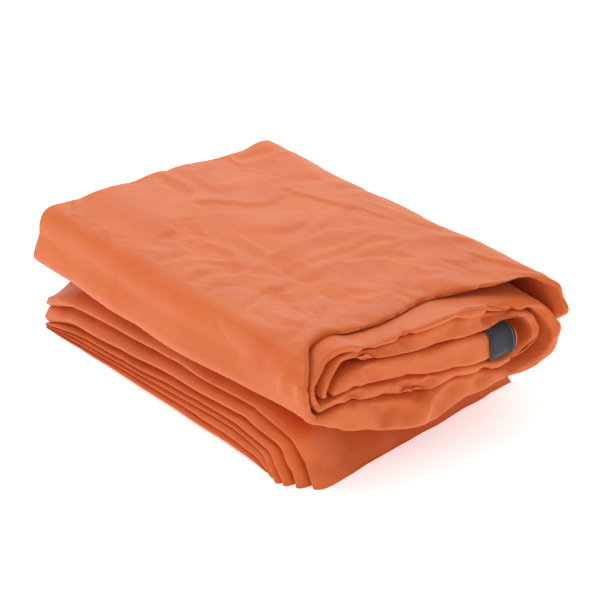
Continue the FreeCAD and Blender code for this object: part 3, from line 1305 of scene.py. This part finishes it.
    def build_fold(self, node: str, below: Body, above: Body, fold: Material) -> None:
        """Build the cloth that turns from one pleat into the next.

        Args:
            node: CAD node that it stands for.
            below: Body under the fold.
            above: Body over the fold.
            fold: Material, the shell cloth made darker as painted shade.
        """
        rows, sides, overlap = 90, 20, 2.2
        low, high = (np.array(c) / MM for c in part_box(node))
        middle, radius = (low[2] + high[2]) / 2, (high[2] - low[2]) / 2
        x = np.linspace(low[0], high[0], rows)
        angles = np.linspace(0, math.tau, sides, endpoint=False) + math.pi / sides
        taper = np.clip(np.minimum(np.arange(rows), np.arange(rows)[::-1]) / 3, 0.15, 1) ** 0.5
        wave = 0.25 * np.sin(x / 17) * taper
        reach = (high[1] - low[1] + overlap) / 2
        y = (high[1] - reach) + (reach * taper)[:, None] * np.cos(angles) + wave[:, None]
        z = middle + (radius * taper)[:, None] * np.sin(angles)
        grid = np.stack([x[:, None] + 0 * y, y, z], axis=-1)
        uv = np.stack([x[:, None] + 0 * y, radius * angles + 0 * y], axis=-1) * MM
        piece = loft(node + "_cloth", grid, uv)
        # The fold takes the darker copy of the shell cloth: painted shade between the pleats.
        piece.data.materials.append(fold)
        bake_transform(piece)
        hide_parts(node)
        LOG.info("%s: blended from %s to %s", piece.name, below.value, above.value)


# ---- studio


@dataclass(frozen=True)
class Lamp:
    """A square soft light that faces the object.

    Attributes:
        name: Light name.
        place: Its place in metres.
        size: Side in metres.
        power: Watts.
    """

    name: str
    place: Place
    size: float
    power: float

    def build(self) -> None:
        """Add the light."""
        data = bpy.data.lights.new(self.name, "AREA")
        data.shape, data.size, data.energy = "SQUARE", self.size, self.power
        lamp = add_object(self.name, data)
        lamp.location = self.place
        aim = Vector(self.place) - Vector((0, 0, 0.04))
        lamp.rotation_euler = aim.to_track_quat("Z", "Y").to_euler()


@dataclass
class Studio:
    """Pale floor, soft light and the camera.

    Attributes:
        azimuth: Camera's direction round the object in degrees.
        elevation: Its height in degrees.
        distance: Its distance in metres.
        lens: Focal length in mm on a sensor 36 mm wide.
        aim_right: How far it looks to the right of the middle, in mm.
        aim_up: How far it looks above the middle, in mm.
        floor_half: Half the floor's side in metres.
        floor_glow: Light that the floor gives off.
        sky: Strength of the white world.
        lamps: The lights.
    """

    azimuth: float = 52.3
    elevation: float = 25.0
    distance: float = 1.4
    lens: float = 127.8
    aim_right: float = 8.9
    aim_up: float = 1.4
    floor_half: float = 6.0
    floor_glow: float = 0.49
    sky: float = 0.56
    lamps: tuple[Lamp, ...] = (
        Lamp("key", (-0.55, -0.42, 1.70), 1.1, 13.4),
        Lamp("fill", (1.3, -0.4, 0.6), 0.9, 0.9),
        Lamp("back", (-0.9, 0.95, 0.8), 1.3, 6.0),
    )

    def build(self) -> None:
        """Add the camera, floor, world and lights."""
        self.build_camera()
        self.build_floor()
        world = bpy.data.worlds.new("studio_world")
        world.use_nodes = True
        background = world.node_tree.nodes["Background"]
        background.inputs["Color"].default_value = (1, 1, 1, 1)
        background.inputs["Strength"].default_value = self.sky
        bpy.context.scene.world = world
        bpy.context.scene.view_settings.view_transform = "Standard"
        for lamp in self.lamps:
            lamp.build()

    def build_camera(self) -> None:
        """Add the camera."""
        low, high = (Vector(c) for c in CAD_BOX)
        a, e = math.radians(self.azimuth), math.radians(self.elevation)
        back = Vector((math.sin(a) * math.cos(e), -math.cos(a) * math.cos(e), math.sin(e)))
        right = Vector((math.cos(a), math.sin(a), 0))
        up = back.cross(right)
        data = bpy.data.cameras.new("studio_camera")
        data.lens, data.sensor_width = self.lens, 36.0
        data.clip_start, data.clip_end = 0.01, 50
        camera = add_object("studio_camera", data)
        turn = Matrix((right, up, back)).transposed().to_4x4()
        aim = (right * self.aim_right + up * self.aim_up) * MM
        turn.translation = (low + high) / 2 + back * self.distance + aim
        camera.matrix_world = turn
        bpy.context.scene.camera = camera

    def build_floor(self) -> None:
        """Add the floor."""
        mesh = bpy.data.meshes.new("studio_floor")
        r = self.floor_half
        mesh.from_pydata([(-r, -r, 0), (r, -r, 0), (r, r, 0), (-r, r, 0)], [], [(0, 1, 2, 3)])
        floor = add_object("studio_floor", mesh)
        material = bpy.data.materials.new("pale_floor")
        material.use_nodes = True
        shader = material.node_tree.nodes["Principled BSDF"]
        for name, value in (("Base Color", linear("#FAFAFA")), ("Roughness", 0.9),
                            ("Emission Color", linear("#FFFFFF")),
                            ("Emission Strength", self.floor_glow)):
            shader.inputs[name].default_value = value
        mesh.materials.append(material)


def main() -> None:
    """Build the folded sack around its CAD frame."""
    logging.basicConfig(level=logging.INFO, format="%(name)s %(message)s")
    # FOLD is the shell cloth made darker: painted shade for the folds at the back.
    shell, fold = SHELL.build(), FOLD.build()
    tape, binding = NAVY.build(), BINDING.build()
    Roll(RollShape()).build(shell, tape, binding)
    Stack().build(shell, fold)
    Studio().build()


if __name__ == "__main__":
    main()
